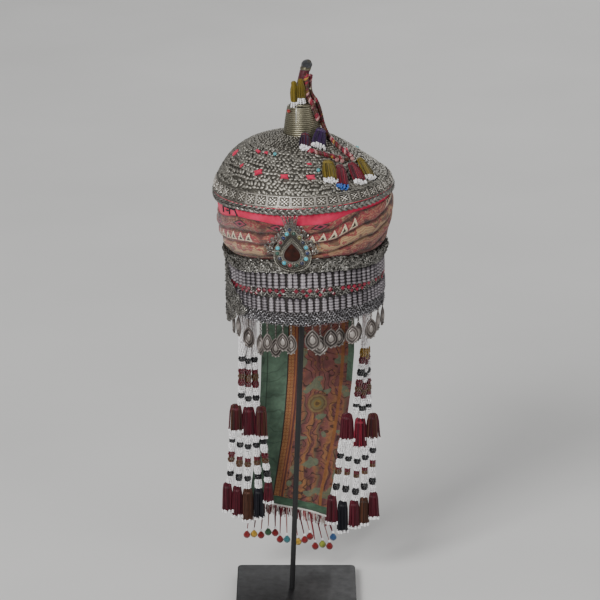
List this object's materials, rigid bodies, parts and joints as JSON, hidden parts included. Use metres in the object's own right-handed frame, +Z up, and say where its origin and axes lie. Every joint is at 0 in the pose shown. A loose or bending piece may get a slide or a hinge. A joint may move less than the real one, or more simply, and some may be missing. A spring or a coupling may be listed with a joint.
{
  "type": "bridal headdress on a stand",
  "caption": "Silver-plated bridal headdress with a spiked finial, scarf, tube and bead band, leaf drops, tassel hangings and an embroidered tail, on a plain post stand.",
  "frame": {"origin": "middle of the stand base's underside, on the surface that it rests on", "axes": "+Z up along the height, -Y towards the forehead ornament at the front, +X to the viewer's right"},
  "size_m": [0.2156, 0.2172, 0.6929],
  "materials": {
    "black_paint": "matt black paint",
    "brown_stone": "polished dark brown stone",
    "embroidered_cloth": "chain-stitched panel on a green cotton lining",
    "maroon_silk": "twisted silk thread, maroon and other dark colours",
    "ochre_silk": "ochre yellow silk thread",
    "pale_silver": "worn silver, lighter on its raised edges",
    "pink_cloth": "coral pink plain weave",
    "printed_cotton": "thin printed cotton in tan and crimson",
    "purple_silk": "purple silk thread",
    "red_glass": "small red glass beads in silver wire",
    "red_wool": "wrapped wool yarn in red, pale and gold",
    "seed_beads": "opaque glass seed beads in white, black and dark red",
    "tarnished_silver": "dark tarnished silver, stamped and coiled"
  },
  "bodies": {
    "root": {"back_panel": "embroidered_cloth", "bead_row": "red_glass", "braid_cross": "red_wool", "braid_long": "red_wool", "braid_short": "red_wool", "cap_cloth": "pink_cloth", "dome_plates": "tarnished_silver", "drop_01": "tarnished_silver", "drop_02": "tarnished_silver", "drop_03": "tarnished_silver", "drop_04": "tarnished_silver", "drop_05": "tarnished_silver", "drop_06": "tarnished_silver", "drop_07": "tarnished_silver", "drop_08": "tarnished_silver", "drop_09": "tarnished_silver", "drop_10": "tarnished_silver", "drop_11": "tarnished_silver", "drop_12": "tarnished_silver", "drop_13": "tarnished_silver", "drop_14": "tarnished_silver", "drop_15": "tarnished_silver", "drop_16": "tarnished_silver", "drop_17": "tarnished_silver", "finial_cone": "tarnished_silver", "finial_spike": "tarnished_silver", "forehead_setting": "pale_silver", "forehead_stone": "brown_stone", "left_strings_lower": "seed_beads", "left_strings_upper": "seed_beads", "left_tassels_lower": "maroon_silk", "left_tassels_upper": "maroon_silk", "mail_hem": "pale_silver", "mail_roll": "tarnished_silver", "panel_fringe": "maroon_silk", "right_strings_lower": "seed_beads", "right_strings_upper": "seed_beads", "right_tassels_lower": "maroon_silk", "right_tassels_upper": "maroon_silk", "rim_band": "pale_silver", "rim_edge": "tarnished_silver", "scarf_wrap": "printed_cotton", "side_mail_drape": "tarnished_silver", "stand_base": "black_paint", "stand_post": "black_paint", "stand_top": "black_paint", "tassel_maroon_high": "maroon_silk", "tassel_maroon_left": "maroon_silk", "tassel_maroon_right": "maroon_silk", "tassel_ochre_left": "ochre_silk", "tassel_ochre_right": "ochre_silk", "tassel_purple": "purple_silk", "tassels_ochre_spike": "ochre_silk", "tube_row_lower": "pale_silver", "tube_row_upper": "pale_silver"}
  },
  "joints": []
}
